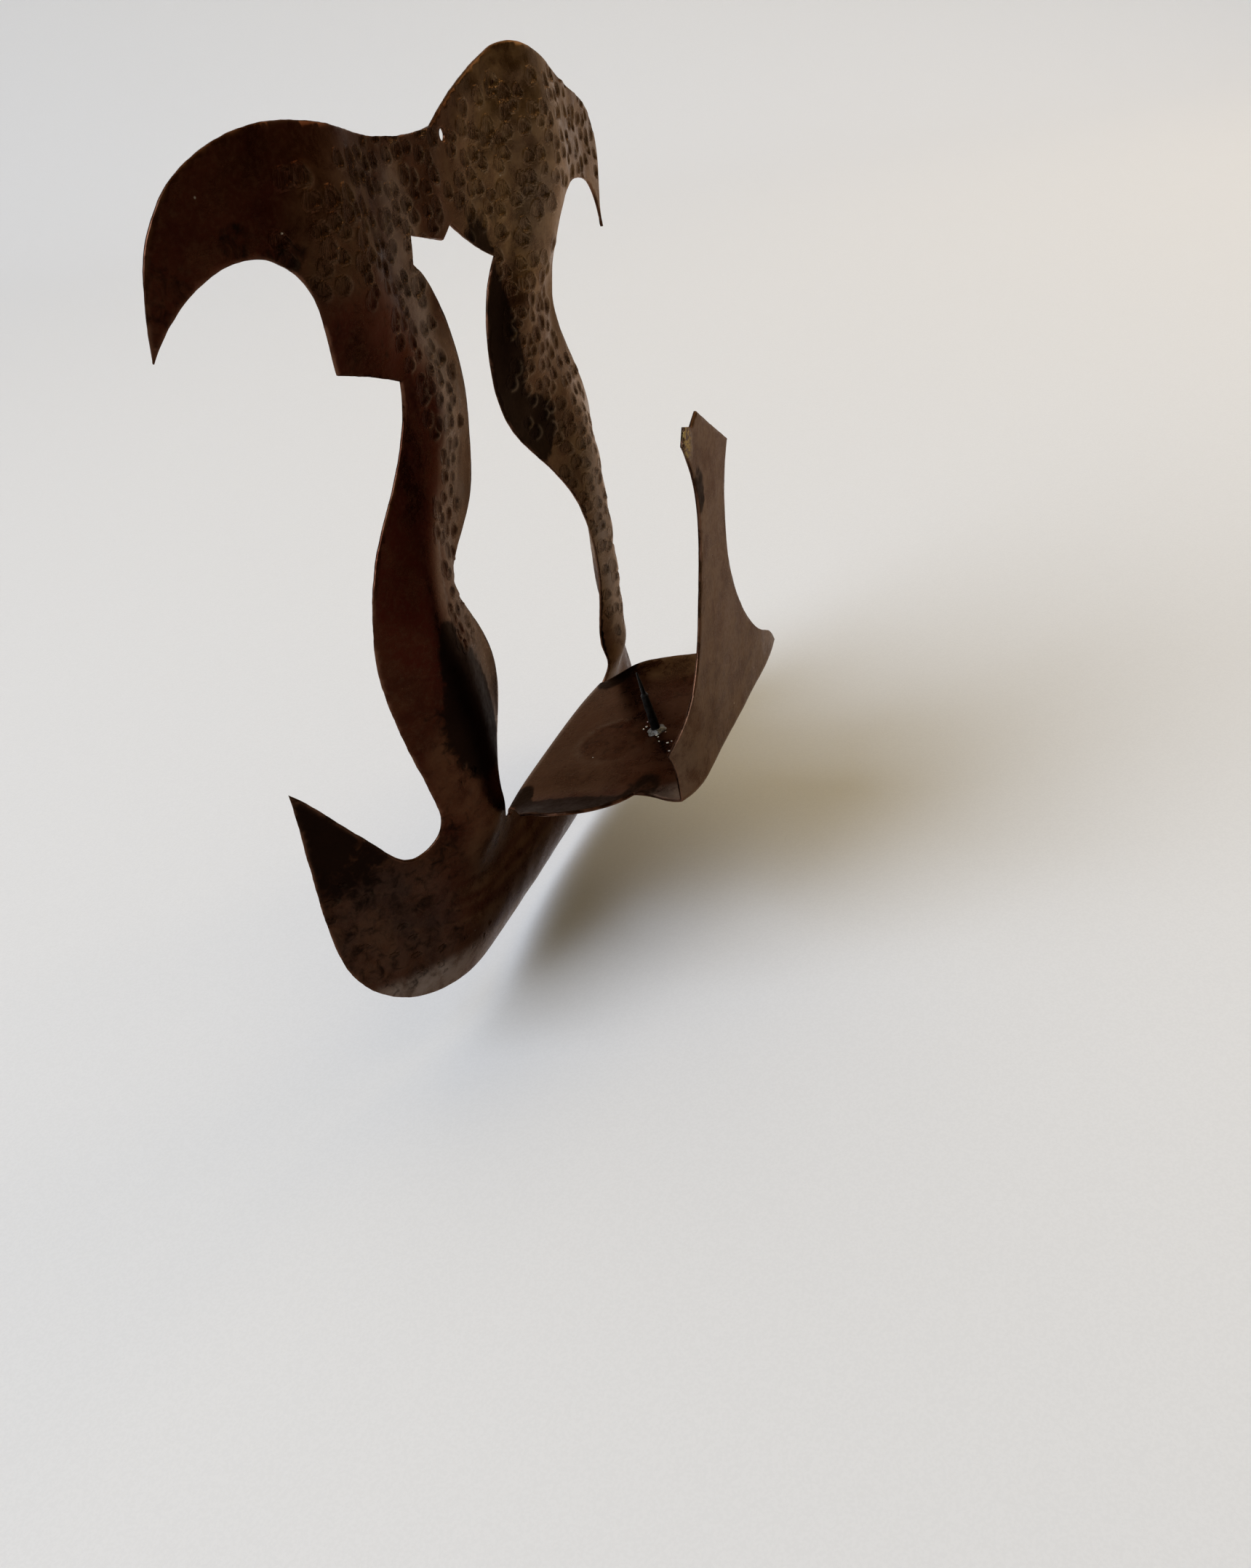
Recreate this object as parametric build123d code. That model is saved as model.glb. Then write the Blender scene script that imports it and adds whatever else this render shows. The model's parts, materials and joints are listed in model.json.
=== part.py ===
from build123d import *
import math
import os

os.makedirs("parts", exist_ok=True)

# ---- driving dimensions, mm ------------------------------------------------
SHEET = 1.0            # sheet thickness
HOLE_X = 5.0           # nail hole, from the middle of the sheet
HOLE_Z = 187.5         # nail hole above the tray fold
HOLE_R = 1.5
RIB = 8.5              # how far the legs are raised to the front
RIB_TOP = 4.0          # the same near the neck
FIN_SWEEP = 20.0       # how far the foot's fins sweep back
HORN_SWEEP = 8.0       # how far the left horn sweeps back
HORN_SWEEP_R = 4.0     # the same for the right horn
DOME = 4.0             # doming of the two heads
ROLL = 9.0             # how far the bottom edge rolls back
TRAY_RISE = 11.0       # degrees the tray climbs to the front
TRAY_LEN = 68.0        # fold to fold, along the tray
DISH = 0.010           # upward curl of the tray's sides
STRIP_DISH = 0.014     # inward curl of the strip's foot
DISH_FLAT = 28.0       # half width that stays flat
BEND_1 = 2.43          # bend radius at the plate
BEND_2 = 3.5           # bend radius at the front strip
SPIKE_H = 22.0
SPIKE_R = 1.7
SPIKE_X = 1.0
SPIKE_V = 40.0         # spike position along the tray
SOLDER_R = 3.2
SOLDER_H = 1.2

# ---- outlines in the sheet's front view (x, z), tray fold at z = 0 ----------
# each run is one smooth cut between two sharp corners
OUTER = [
    [(0, 190.5), (-20, 191.5), (-43, 196.3), (-63.5, 201.8), (-78, 203.5), (-91, 201.5), (-101, 196.8),
     (-108, 189.5), (-112, 181), (-115.2, 167)],
    [(-115.2, 167), (-107.5, 174.3), (-98, 178.8), (-86, 179.4), (-76.6, 172.3), (-73, 161), (-70.5, 149.6)],
    [(-70.5, 149.6), (-59.5, 145.6), (-46.5, 140)],
    [(-46.5, 140), (-48.4, 128.8), (-61.5, 113.6), (-71.5, 104.2), (-78, 92.7), (-80.6, 78.8),
     (-78.8, 62), (-76.3, 45), (-73.9, 28), (-75.2, 17), (-82, 12.8), (-89, 21), (-96.6, 35.6), (-104, 49)],
    [(-104, 49), (-104.8, 25), (-105.8, 0), (-104.7, -19), (-94.3, -32.7), (-77, -39.5), (-45, -45.5),
     (0, -48), (45, -45.5), (77, -39.5), (94.3, -32.7), (104.7, -19), (105.8, 0), (104.8, 25), (104, 49)],
    [(104, 49), (96.6, 35.6), (89, 21), (82, 12.8), (75.2, 17), (71.5, 28), (72, 45), (73, 62), (73, 78),
     (70, 92), (65, 104), (58, 118), (53.5, 132), (54, 145), (58.5, 156), (69, 161.5), (86, 161),
     (98, 157), (105, 142)],
    [(105, 142), (110.5, 156), (114, 167), (109, 176), (94, 184), (77, 190.5), (61, 198), (52, 202),
     (44, 204), (28, 201), (12, 195.7), (0, 190.5)],
]
OPENING = [
    [(-39, -2), (-46, 4), (-49.5, 13), (-48, 23), (-41.9, 29), (-34, 33.6), (-28.5, 41), (-27.2, 49),
     (-30.5, 60), (-43.5, 83)],
    [(-43.5, 83), (-32.5, 89), (-20, 97.5), (-13, 112), (-10.5, 130), (-12, 144), (-17, 155), (-24, 162.5)],
    [(-24, 162.5), (-22, 169)],
    [(-22, 169), (-6, 164)],
    [(-6, 164), (0, 166.8)],
    [(0, 166.8), (8, 160.8), (21, 153.3)],
    [(21, 153.3), (13.5, 145), (9, 136), (7.4, 120), (12.8, 106), (29.5, 87.3), (40, 69), (43.7, 48),
     (41.7, 30), (39.5, 15), (42.5, 4), (39, -2)],
    [(39, -2), (-39, -2)],
]
# tray in plan, (x, distance along the tray)
TRAY = [
    [(-38.3, -3), (-38.6, 1), (-43.5, 8), (-50.5, 19), (-52, 28), (-47, 38), (-36, 46)],
    [(-36, 46), (-38.5, 54), (-43, 63), (-43, 72)],
    [(-43, 72), (51, 72)],
    [(51, 72), (48.5, 60), (46.5, 46), (46.5, 30), (44.5, 16), (41, 8), (38.6, 1), (38.3, -3)],
    [(38.3, -3), (-38.3, -3)],
]
# strip in front view, (x, height above the front fold)
STRIP = [
    [(-43, -4), (-43, 6), (-46, 19)],
    [(-46, 19), (-37, 27), (-27, 38), (-19, 55), (-13, 73), (-12.5, 84), (-16, 94), (-20, 100)],
    [(-20, 100), (-17.5, 104.5)],
    [(-17.5, 104.5), (-12, 102.5)],
    [(-12, 102.5), (-7, 105)],
    [(-7, 105), (0, 100), (16.5, 88.5)],
    [(16.5, 88.5), (11.5, 80), (8.5, 68), (9, 50), (17, 34), (32, 18), (47, 8.5), (53, 2), (51, -4)],
    [(51, -4), (-43, -4)],
]


def smooth(t):
    t = min(max(t, 0.0), 1.0)
    return t * t * (3 - 2 * t)


def leg_line(x, z):
    """distance of a leg's crest from the middle at height z"""
    z = min(max(z, -60.0), 210.0)
    if x < 0:
        base = 57 + 5 * math.exp(-((z - 80) / 18) ** 2)
    else:
        base = 53.5 - 1.5 * smooth((40 - z) / 30)
    base += 8 * smooth((-10 - z) / 50)
    return base - 25 * math.exp(-((z - 128) / 24) ** 2)


def plate_y(x, z):
    """middle of the sheet, positive to the wall"""
    a = abs(x)
    d = a - leg_line(x, z)
    up = smooth((z - 70) / 45)
    h = (RIB - (RIB - RIB_TOP) * up) * smooth((z + 14) / 28)
    back = 5 * (1 - up) * smooth((z + 30) / 40)
    flank = (20 if x < 0 else 15) + 4 * up
    if d < 0:
        y = -h * math.exp(-(d / (20 - 5 * up)) ** 2)
    else:
        y = -h + (h + back) * (1 - math.exp(-(d / flank) ** 2))
    head = smooth((z - 120) / 45)
    y -= DOME * head * math.exp(-((a - 60) / 30) ** 2 - ((z - 172) / 32) ** 2)
    y += (HORN_SWEEP if x < 0 else HORN_SWEEP_R) * head * (max(a - 70, 0) / 45) ** 2
    y += FIN_SWEEP * (1 - smooth((z - 50) / 60)) * (max(a - 64, 0) / 42) ** 2
    y += ROLL * (max(-20 - z, 0) / 30) ** 2
    return y


def slab(func, us, vs, thick, toward):
    """solid sheet round the surface func(u, v), with toward as the side it grows to"""
    e = 0.01
    skin = []
    for u in us:
        row = []
        for v in vs:
            p = Vector(*func(u, v))
            du = Vector(*func(u + e, v)) - Vector(*func(u - e, v))
            dv = Vector(*func(u, v + e)) - Vector(*func(u, v - e))
            n = du.cross(dv).normalized()
            if n.dot(toward) < 0:
                n = n * -1
            row.append(p - n * (thick / 2))
        skin.append(row)
    face = Face.make_surface_from_array_of_points(skin, tol=0.02, min_deg=3, max_deg=5)
    return Solid.thicken(face, thick, normal_override=toward)


def steps(a, b, n):
    return [a + (b - a) * i / n for i in range(n + 1)]


def outline(runs, to_point):
    edges = []
    for run in runs:
        pts = [to_point(*p) for p in run]
        edges.append(Line(pts[0], pts[1]) if len(pts) == 2 else Spline(*pts))
    return Face(Wire(edges))


def front_prism(runs, y0, y1):
    face = outline(runs, lambda x, z: Vector(x, y0, z))
    return Solid.extrude(face, Vector(0, y1 - y0, 0))


def block(x0, x1, z0, z1):
    b = Solid.make_box(x1 - x0, 160, z1 - z0)
    return b.moved(Location((x0, -80, z0)))


# ---- plate -------------------------------------------------------------------
plate = slab(lambda x, z: (x, plate_y(x, z), z), steps(-122, 122, 61), steps(-54, 210, 66),
             SHEET, Vector(0, -1, 0))
cut_out = front_prism(OPENING, -60, 60)
blank = front_prism(OUTER, -60, 60) - cut_out
plate = plate & blank
hole = Solid.make_cylinder(HOLE_R, 40, Plane(origin=(HOLE_X, -20, HOLE_Z), z_dir=(0, 1, 0)))
plate = plate - hole

regions = {
    "left_head": [block(-130, -24, 140, 215), block(-24, 0, 140, 164)],
    "right_head": [block(21, 130, 140, 215), block(0, 21, 140, 153.3)],
    "neck_bridge": [block(-24, 0, 164, 215), block(0, 21, 153.3, 215)],
    "left_leg": [block(-82, 0, 14, 140)],
    "right_leg": [block(0, 82, 14, 140)],
    "left_fin": [block(-130, -82, -60, 60), block(-82, -50, -60, 14)],
    "right_fin": [block(82, 130, -60, 60), block(50, 82, -60, 14)],
    "base_web": [block(-50, 50, -60, 14)],
}
shapes = {}
for name, blocks in regions.items():
    zone = blocks[0]
    for b in blocks[1:]:
        zone = zone + b
    shapes[name] = plate & zone

# ---- tongue: tray and front strip --------------------------------------------
rise = math.radians(TRAY_RISE)
turn = math.pi / 2 - rise
ease_1 = BEND_1 * math.tan(turn / 2)
ease_2 = BEND_2 * math.tan(turn / 2)
front_y = -TRAY_LEN * math.cos(rise)
front_z = TRAY_LEN * math.sin(rise)


def tongue_path(s):
    """(y, z, turn from upright) along the folded tongue, s from the first fold"""
    if s <= ease_1:
        t = (s + ease_1) / (2 * ease_1) * turn
        return BEND_1 * (math.cos(t) - 1), BEND_1 * math.sin(t) - ease_1, t
    if s <= TRAY_LEN - ease_2:
        return -s * math.cos(rise), s * math.sin(rise), turn
    if s >= TRAY_LEN + ease_2:
        return front_y, front_z + s - TRAY_LEN, 0.0
    t = (TRAY_LEN + ease_2 - s) / (2 * ease_2) * turn
    return (front_y + BEND_2 * (1 - math.cos(t)), front_z + ease_2 - BEND_2 * math.sin(t), t)


def tongue(x, s):
    """middle of the sheet in the tray and the strip"""
    y, z, t = tongue_path(s)
    side = max(abs(x) - DISH_FLAT, 0.0) ** 2
    lift = DISH * side * smooth((s - 2) / 16)
    if s > TRAY_LEN - 10:
        more = smooth((s - TRAY_LEN + 10) / 20)
        lift = side * (DISH + (STRIP_DISH - DISH) * more) * (1 - smooth((s - TRAY_LEN - 15) / 40))
    if x > 0:
        lift *= 1 - 0.8 * smooth((s - 42) / 20)
    start = plate_y(x, -ease_1) * (1 - smooth((s + ease_1) / 12))
    return x, y + start + lift * math.cos(t), z + lift * math.sin(t)


across = steps(-56, 56, 28)
s_in = TRAY_LEN - ease_2
s_out = TRAY_LEN + ease_2
tray = slab(tongue, across, steps(-ease_1, s_in, 60), SHEET, Vector(0, 0.2, 1))
strip = slab(tongue, across, steps(s_out + 0.02, TRAY_LEN + 112, 40), SHEET, Vector(0, 1, 0))


def bend_section(x):
    """outline of the front bend in the plane x = constant"""
    skins = []
    for side in (-SHEET / 2, SHEET / 2):
        pts = []
        for s in (s_in + 0.03, TRAY_LEN, s_out - 0.001):
            px, py, pz = tongue(x, s)
            t = tongue_path(s)[2]
            pts.append(Vector(px, py + side * math.cos(t), pz + side * math.sin(t)))
        skins.append(pts)
    low, top = skins
    return Wire([ThreePointArc(*low), Line(low[2], top[2]), ThreePointArc(*top[::-1]), Line(top[0], low[0])])


def tray_point(x, v):
    return Vector(x, -v * math.cos(rise), -12)


def strip_point(x, h):
    return Vector(x, front_y - 12, front_z + h)


tray_cut = Solid.extrude(outline(TRAY, tray_point), Vector(0, 0, 60))
strip_cut = Solid.extrude(outline(STRIP, strip_point), Vector(0, 40, 0))
shapes["candle_tray"] = tray & tray_cut
bend_x = [-43, -38, -33, -28, -14, 0, 14, 28, 33, 38, 43, 47, 51]
shapes["front_fold"] = Solid.make_loft([bend_section(x) for x in bend_x]) - shapes["candle_tray"]
strip = strip & strip_cut
shapes["front_strip"] = max(strip.solids(), key=lambda piece: piece.volume)

# ---- spike and its solder ------------------------------------------------------
up_tray = Vector(0, math.sin(rise), math.cos(rise))
foot = Vector(SPIKE_X, -SPIKE_V * math.cos(rise), SPIKE_V * math.sin(rise)) + up_tray * (SHEET / 2)
spike_plane = Plane(origin=foot, x_dir=(1, 0, 0), z_dir=up_tray)
profile = [(0, 0), (SPIKE_R, 0), (SPIKE_R * 0.72, SPIKE_H * 0.62), (SPIKE_R * 0.5, SPIKE_H * 0.66),
           (SPIKE_R * 0.16, SPIKE_H), (0, SPIKE_H)]
half = Face(Wire.make_polygon([Vector(r, 0, h) for r, h in profile]))
spike = Solid.revolve(half, 360, Axis.Z)
spike = spike_plane.location * spike
solder = Solid.make_cone(SOLDER_R, SPIKE_R + 0.5, SOLDER_H)
solder = spike_plane.location * solder - spike - shapes["candle_tray"]
shapes["candle_spike"] = spike - shapes["candle_tray"]
shapes["spike_solder"] = solder

# ---- the nail hole is the frame's origin ------------------------------------------
home = Location((-HOLE_X, -plate_y(HOLE_X, HOLE_Z), -HOLE_Z))
for name, shape in shapes.items():
    solid = shape.moved(home)
    solid.label = name
    print(name, round(solid.volume, 1), len(solid.solids()), solid.is_valid)
    export_step(solid, f"parts/{name}.step")
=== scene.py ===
import json
import math
import random

import bmesh
import bpy
import numpy as np
from mathutils import Matrix, Vector, geometry, kdtree, noise


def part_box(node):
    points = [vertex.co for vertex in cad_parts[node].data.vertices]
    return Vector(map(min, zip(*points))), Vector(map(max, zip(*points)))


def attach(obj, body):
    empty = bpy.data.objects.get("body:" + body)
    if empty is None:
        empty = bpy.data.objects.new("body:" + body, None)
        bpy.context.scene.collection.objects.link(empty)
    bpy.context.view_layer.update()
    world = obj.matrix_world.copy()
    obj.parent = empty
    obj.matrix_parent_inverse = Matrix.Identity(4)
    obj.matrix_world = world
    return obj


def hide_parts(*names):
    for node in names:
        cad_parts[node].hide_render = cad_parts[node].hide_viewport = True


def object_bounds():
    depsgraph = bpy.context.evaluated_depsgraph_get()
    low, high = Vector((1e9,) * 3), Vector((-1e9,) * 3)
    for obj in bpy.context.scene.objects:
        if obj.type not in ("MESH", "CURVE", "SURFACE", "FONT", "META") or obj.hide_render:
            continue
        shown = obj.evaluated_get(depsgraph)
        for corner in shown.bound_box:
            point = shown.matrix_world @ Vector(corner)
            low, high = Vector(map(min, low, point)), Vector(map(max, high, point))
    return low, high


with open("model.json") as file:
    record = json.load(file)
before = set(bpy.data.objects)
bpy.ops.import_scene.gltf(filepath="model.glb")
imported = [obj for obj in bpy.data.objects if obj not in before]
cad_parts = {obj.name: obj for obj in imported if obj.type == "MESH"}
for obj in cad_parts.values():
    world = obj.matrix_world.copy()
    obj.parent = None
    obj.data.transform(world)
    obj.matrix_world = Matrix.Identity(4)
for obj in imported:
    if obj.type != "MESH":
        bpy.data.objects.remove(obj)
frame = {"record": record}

cad_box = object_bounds()
MM = 0.001

# ---- sizes, mm; the sheet's own frame has its origin at the middle of the tray fold, z up, front to -y --
SHEET = 1.0            # sheet thickness
BEVEL = 0.22           # softened cut edges
HOLE_X = 5.0           # nail hole
HOLE_Z = 187.5
HOLE_R = 1.5
RIB = 8.5              # how far the legs are raised to the front
RIB_TOP = 4.0
FIN_SWEEP = 20.0       # how far the foot's fins sweep back
HORN_SWEEP = 8.0
HORN_SWEEP_R = 4.0
DOME = 4.0             # doming of the two heads
ROLL = 9.0             # how far the bottom edge rolls back
TRAY_RISE = 11.0       # degrees the tray climbs to the front
TRAY_LEN = 68.0        # fold to fold, along the tray
DISH = 0.010           # upward curl of the tray's sides
STRIP_DISH = 0.014     # inward curl of the strip's foot
DISH_FLAT = 28.0       # half width that stays flat
BEND_1 = 2.43          # bend radius at the plate
BEND_2 = 3.5           # bend radius at the front strip
FOLD_HALF = 39.0       # half width of the sheet where the tray is folded out
FLOOR_GAP = 7.0        # the object is held this far above the table
STEP = 0.75            # spacing of the outline's points
EDGE_GAP = 0.42        # no inner point of the front skin is nearer than this to a cut edge
EDGE_GAP_BACK = 0.5
HOLE_POINTS = 28

# ---- outlines: each run is one smooth cut between two sharp corners --------------------------
OUTER = [
    [(0, 190.5), (-20, 191.5), (-43, 196.3), (-63.5, 201.8), (-78, 203.5), (-91, 201.5), (-101, 196.8),
     (-108, 189.5), (-112, 181), (-115.2, 167)],
    [(-115.2, 167), (-107.5, 174.3), (-98, 178.8), (-86, 179.4), (-76.6, 172.3), (-73, 161), (-70.5, 149.6)],
    [(-70.5, 149.6), (-59.5, 145.6), (-46.5, 140)],
    [(-46.5, 140), (-48.4, 128.8), (-61.5, 113.6), (-71.5, 104.2), (-78, 92.7), (-80.6, 78.8),
     (-78.8, 62), (-76.3, 45), (-73.9, 28), (-75.2, 17), (-82, 12.8), (-89, 21), (-96.6, 35.6), (-104, 49)],
    [(-104, 49), (-104.8, 25), (-105.8, 0), (-104.7, -19), (-94.3, -32.7), (-77, -39.5), (-45, -45.5),
     (0, -48), (45, -45.5), (77, -39.5), (94.3, -32.7), (104.7, -19), (105.8, 0), (104.8, 25), (104, 49)],
    [(104, 49), (96.6, 35.6), (89, 21), (82, 12.8), (75.2, 17), (71.5, 28), (72, 45), (73, 62), (73, 78),
     (70, 92), (65, 104), (58, 118), (53.5, 132), (54, 145), (58.5, 156), (69, 161.5), (86, 161),
     (98, 157), (105, 142)],
    [(105, 142), (110.5, 156), (114, 167), (109, 176), (94, 184), (77, 190.5), (61, 198), (52, 202),
     (44, 204), (28, 201), (12, 195.7), (0, 190.5)],
]
OPENING = [
    [(-39, -2), (-46, 4), (-49.5, 13), (-48, 23), (-41.9, 29), (-34, 33.6), (-28.5, 41), (-27.2, 49),
     (-30.5, 60), (-43.5, 83)],
    [(-43.5, 83), (-32.5, 89), (-20, 97.5), (-13, 112), (-10.5, 130), (-12, 144), (-17, 155), (-24, 162.5)],
    [(-24, 162.5), (-22, 169)],
    [(-22, 169), (-6, 164)],
    [(-6, 164), (0, 166.8)],
    [(0, 166.8), (8, 160.8), (21, 153.3)],
    [(21, 153.3), (13.5, 145), (9, 136), (7.4, 120), (12.8, 106), (29.5, 87.3), (40, 69), (43.7, 48),
     (41.7, 30), (39.5, 15), (42.5, 4), (39, -2)],
    [(39, -2), (-39, -2)],
]
# the folded tongue: x, and the distance along the sheet from the tray fold
TONGUE = [
    [(-38.6, -2), (-38.7, 1), (-43.5, 8), (-50.5, 19), (-52, 28), (-47, 38), (-36, 46)],
    [(-36, 46), (-38.5, 54), (-43, 63), (-43.5, 75), (-46, 87)],
    [(-46, 87), (-37, 95), (-27, 106), (-19, 123), (-13, 141), (-12.5, 152), (-16, 162), (-20, 168)],
    [(-20, 168), (-17.5, 172.5)],
    [(-17.5, 172.5), (-12, 170.5)],
    [(-12, 170.5), (-7, 173)],
    [(-7, 173), (0, 168), (16.5, 156.5)],
    [(16.5, 156.5), (11.5, 148), (8.5, 136), (9, 118), (17, 102), (32, 86), (47, 76.5), (53, 70)],
    [(53, 70), (51.2, 66), (48.5, 60), (46.5, 46), (46.5, 30), (44.5, 16), (41, 8), (38.7, 1), (38.6, -2)],
    [(38.6, -2), (-38.6, -2)],
]


# ---- the sheet's surfaces ---------------------------------------------------------------------
def smooth(t):
    t = np.clip(t, 0.0, 1.0)
    return t * t * (3 - 2 * t)


def bell(t):
    return np.exp(-t * t)


def leg_line(x, z):
    """distance of a leg's raised centre line from the middle"""
    z = np.clip(z, -60.0, 210.0)
    left = 57 + 5 * bell((z - 80) / 18)
    right = 53.5 - 1.5 * smooth((40 - z) / 30)
    return np.where(x < 0, left, right) + 8 * smooth((-10 - z) / 50) - 25 * bell((z - 128) / 24)


def plate_y(x, z):
    """middle of the back plate's sheet, positive to the wall"""
    a = np.abs(x)
    d = a - leg_line(x, z)
    up = smooth((z - 70) / 45)
    h = (RIB - (RIB - RIB_TOP) * up) * smooth((z + 14) / 28)
    back = 5 * (1 - up) * smooth((z + 30) / 40)
    flank = np.where(x < 0, 20, 15) + 4 * up
    y = np.where(d < 0, -h * bell(d / (20 - 5 * up)), -h + (h + back) * (1 - bell(d / flank)))
    head = smooth((z - 120) / 45)
    y = y - DOME * head * bell((a - 60) / 30) * bell((z - 172) / 32)
    y = y + np.where(x < 0, HORN_SWEEP, HORN_SWEEP_R) * head * (np.maximum(a - 70, 0) / 45) ** 2
    y = y + FIN_SWEEP * (1 - smooth((z - 50) / 60)) * (np.maximum(a - 64, 0) / 42) ** 2
    return y + ROLL * (np.maximum(-20 - z, 0) / 30) ** 2


def plate(x, z):
    return np.stack([x, plate_y(x, z), z], -1)


rise = math.radians(TRAY_RISE)
turn = math.pi / 2 - rise
ease_1 = BEND_1 * math.tan(turn / 2)
ease_2 = BEND_2 * math.tan(turn / 2)
front_y = -TRAY_LEN * math.cos(rise)
front_z = TRAY_LEN * math.sin(rise)


def tongue_path(s):
    """y, z and the turn from upright along the folded tongue"""
    t1 = np.clip((s + ease_1) / (2 * ease_1), 0, 1) * turn
    t2 = np.clip((TRAY_LEN + ease_2 - s) / (2 * ease_2), 0, 1) * turn
    where = [s <= ease_1, s <= TRAY_LEN - ease_2, s <= TRAY_LEN + ease_2]
    y = np.select(where, [BEND_1 * (np.cos(t1) - 1), -s * math.cos(rise),
                          front_y + BEND_2 * (1 - np.cos(t2))], front_y)
    z = np.select(where, [BEND_1 * np.sin(t1) - ease_1 + np.minimum(s + ease_1, 0), s * math.sin(rise),
                          front_z + ease_2 - BEND_2 * np.sin(t2)], front_z + s - TRAY_LEN)
    return y, z, np.select(where, [t1, np.full_like(t1, turn), t2], 0.0)


def tongue(x, s):
    """middle of the sheet in the tray and the strip"""
    y, z, t = tongue_path(s)
    side = np.maximum(np.abs(x) - DISH_FLAT, 0) ** 2
    more = smooth((s - TRAY_LEN + 10) / 20)
    curl = side * (DISH + (STRIP_DISH - DISH) * more) * (1 - smooth((s - TRAY_LEN - 15) / 40))
    lift = np.where(s > TRAY_LEN - 10, curl, DISH * side * smooth((s - 2) / 16))
    lift = lift * np.where(x > 0, 1 - 0.8 * smooth((s - 42) / 20), 1)
    start = plate_y(x, np.full_like(s, -ease_1)) * (1 - smooth((s + ease_1) / 12))
    return np.stack([x, y + start + lift * np.cos(t), z + lift * np.sin(t)], -1)


def front_normal(surface, u, v):
    """unit normal on the hammered side"""
    e = 0.02
    du = surface(u + e, v) - surface(u - e, v)
    dv = surface(u, v + e) - surface(u, v - e)
    n = np.cross(du, dv)
    return n / np.linalg.norm(n, axis=1)[:, None]


# the nail hole is the row frame's origin, and its mount says where that is
hole = next(m for m in frame["record"]["mounts"] if m["name"] == "hang_hole")
hole_in_sheet = plate(np.array([HOLE_X]), np.array([HOLE_Z]))[0]
shift = np.array(hole["pos_m"]) / MM - hole_in_sheet


def placed(points):
    """mm in the sheet's frame to metres in the row frame"""
    return (np.asarray(points) + shift) * MM


# ---- outlines to points -------------------------------------------------------------------------
def curve(points, step):
    """points about every step mm on the smooth curve through the given ones, without its last"""
    p = np.array(points, float)
    t = np.r_[0, np.cumsum(np.linalg.norm(np.diff(p, axis=0), axis=1))]
    fine = np.linspace(0, t[-1], max(int(t[-1] / step), 1) + 1)[:-1]
    if len(p) < 3:
        return p[0] + (p[1] - p[0]) * (fine / t[-1])[:, None]
    n, h = len(p), np.diff(t)
    slope = np.diff(p, axis=0) / h[:, None]
    a, b = np.zeros((n, n)), np.zeros((n, 2))
    for i in range(1, n - 1):
        a[i, i - 1:i + 2] = h[i], 2 * (h[i - 1] + h[i]), h[i - 1]
        b[i] = 3 * (h[i] * slope[i - 1] + h[i - 1] * slope[i])
    k = min(n, 4)
    a[0, 0] = a[-1, -1] = 1
    for axis in range(2):
        b[0, axis] = np.polyval(np.polyder(np.polyfit(t[:k], p[:k, axis], k - 1)), t[0])
        b[-1, axis] = np.polyval(np.polyder(np.polyfit(t[-k:], p[-k:, axis], k - 1)), t[-1])
    m = np.linalg.solve(a, b)
    i = np.clip(np.searchsorted(t, fine, side="right") - 1, 0, n - 2)
    w = ((fine - t[i]) / h[i])[:, None]
    hi = h[i][:, None]
    return ((2 * w ** 3 - 3 * w ** 2 + 1) * p[i] + (w ** 3 - 2 * w ** 2 + w) * hi * m[i]
            + (3 * w ** 2 - 2 * w ** 3) * p[i + 1] + (w ** 3 - w ** 2) * hi * m[i + 1])


def loop(runs, step):
    return np.concatenate([curve(run, step) for run in runs])


def inward(ring, flip):
    """unit directions into the sheet along a closed ring; flip for a hole"""
    step = np.roll(ring, -1, 0) - np.roll(ring, 1, 0)
    n = np.stack([-step[:, 1], step[:, 0]], 1)
    area = np.sum(ring[:, 0] * np.roll(ring[:, 1], -1) - np.roll(ring[:, 0], -1) * ring[:, 1])
    return n / np.linalg.norm(n, axis=1)[:, None] * (1 if (area > 0) != flip else -1)


def crossings(rings, level):
    """sorted u of every cut of the rings with the line v = level"""
    found = []
    for r in rings:
        q = np.roll(r, -1, 0)
        cut = (r[:, 1] > level) != (q[:, 1] > level)
        a, b = r[cut], q[cut]
        found.append(a[:, 0] + (b[:, 0] - a[:, 0]) * (level - a[:, 1]) / (b[:, 1] - a[:, 1]))
    return np.sort(np.concatenate(found))


def hex_points(rings, pitch):
    """a staggered grid inside the rings"""
    lo, hi = rings[0].min(0), rings[0].max(0)
    rows = []
    for k, level in enumerate(np.arange(lo[1] + pitch / 2, hi[1], pitch * 0.866)):
        u = np.arange(lo[0] + (k % 2) * pitch / 2, hi[0], pitch)
        u = u[np.searchsorted(crossings(rings, level), u) % 2 == 1]
        rows.append(np.stack([u, np.full(len(u), level)], 1))
    return np.concatenate(rows)


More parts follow.
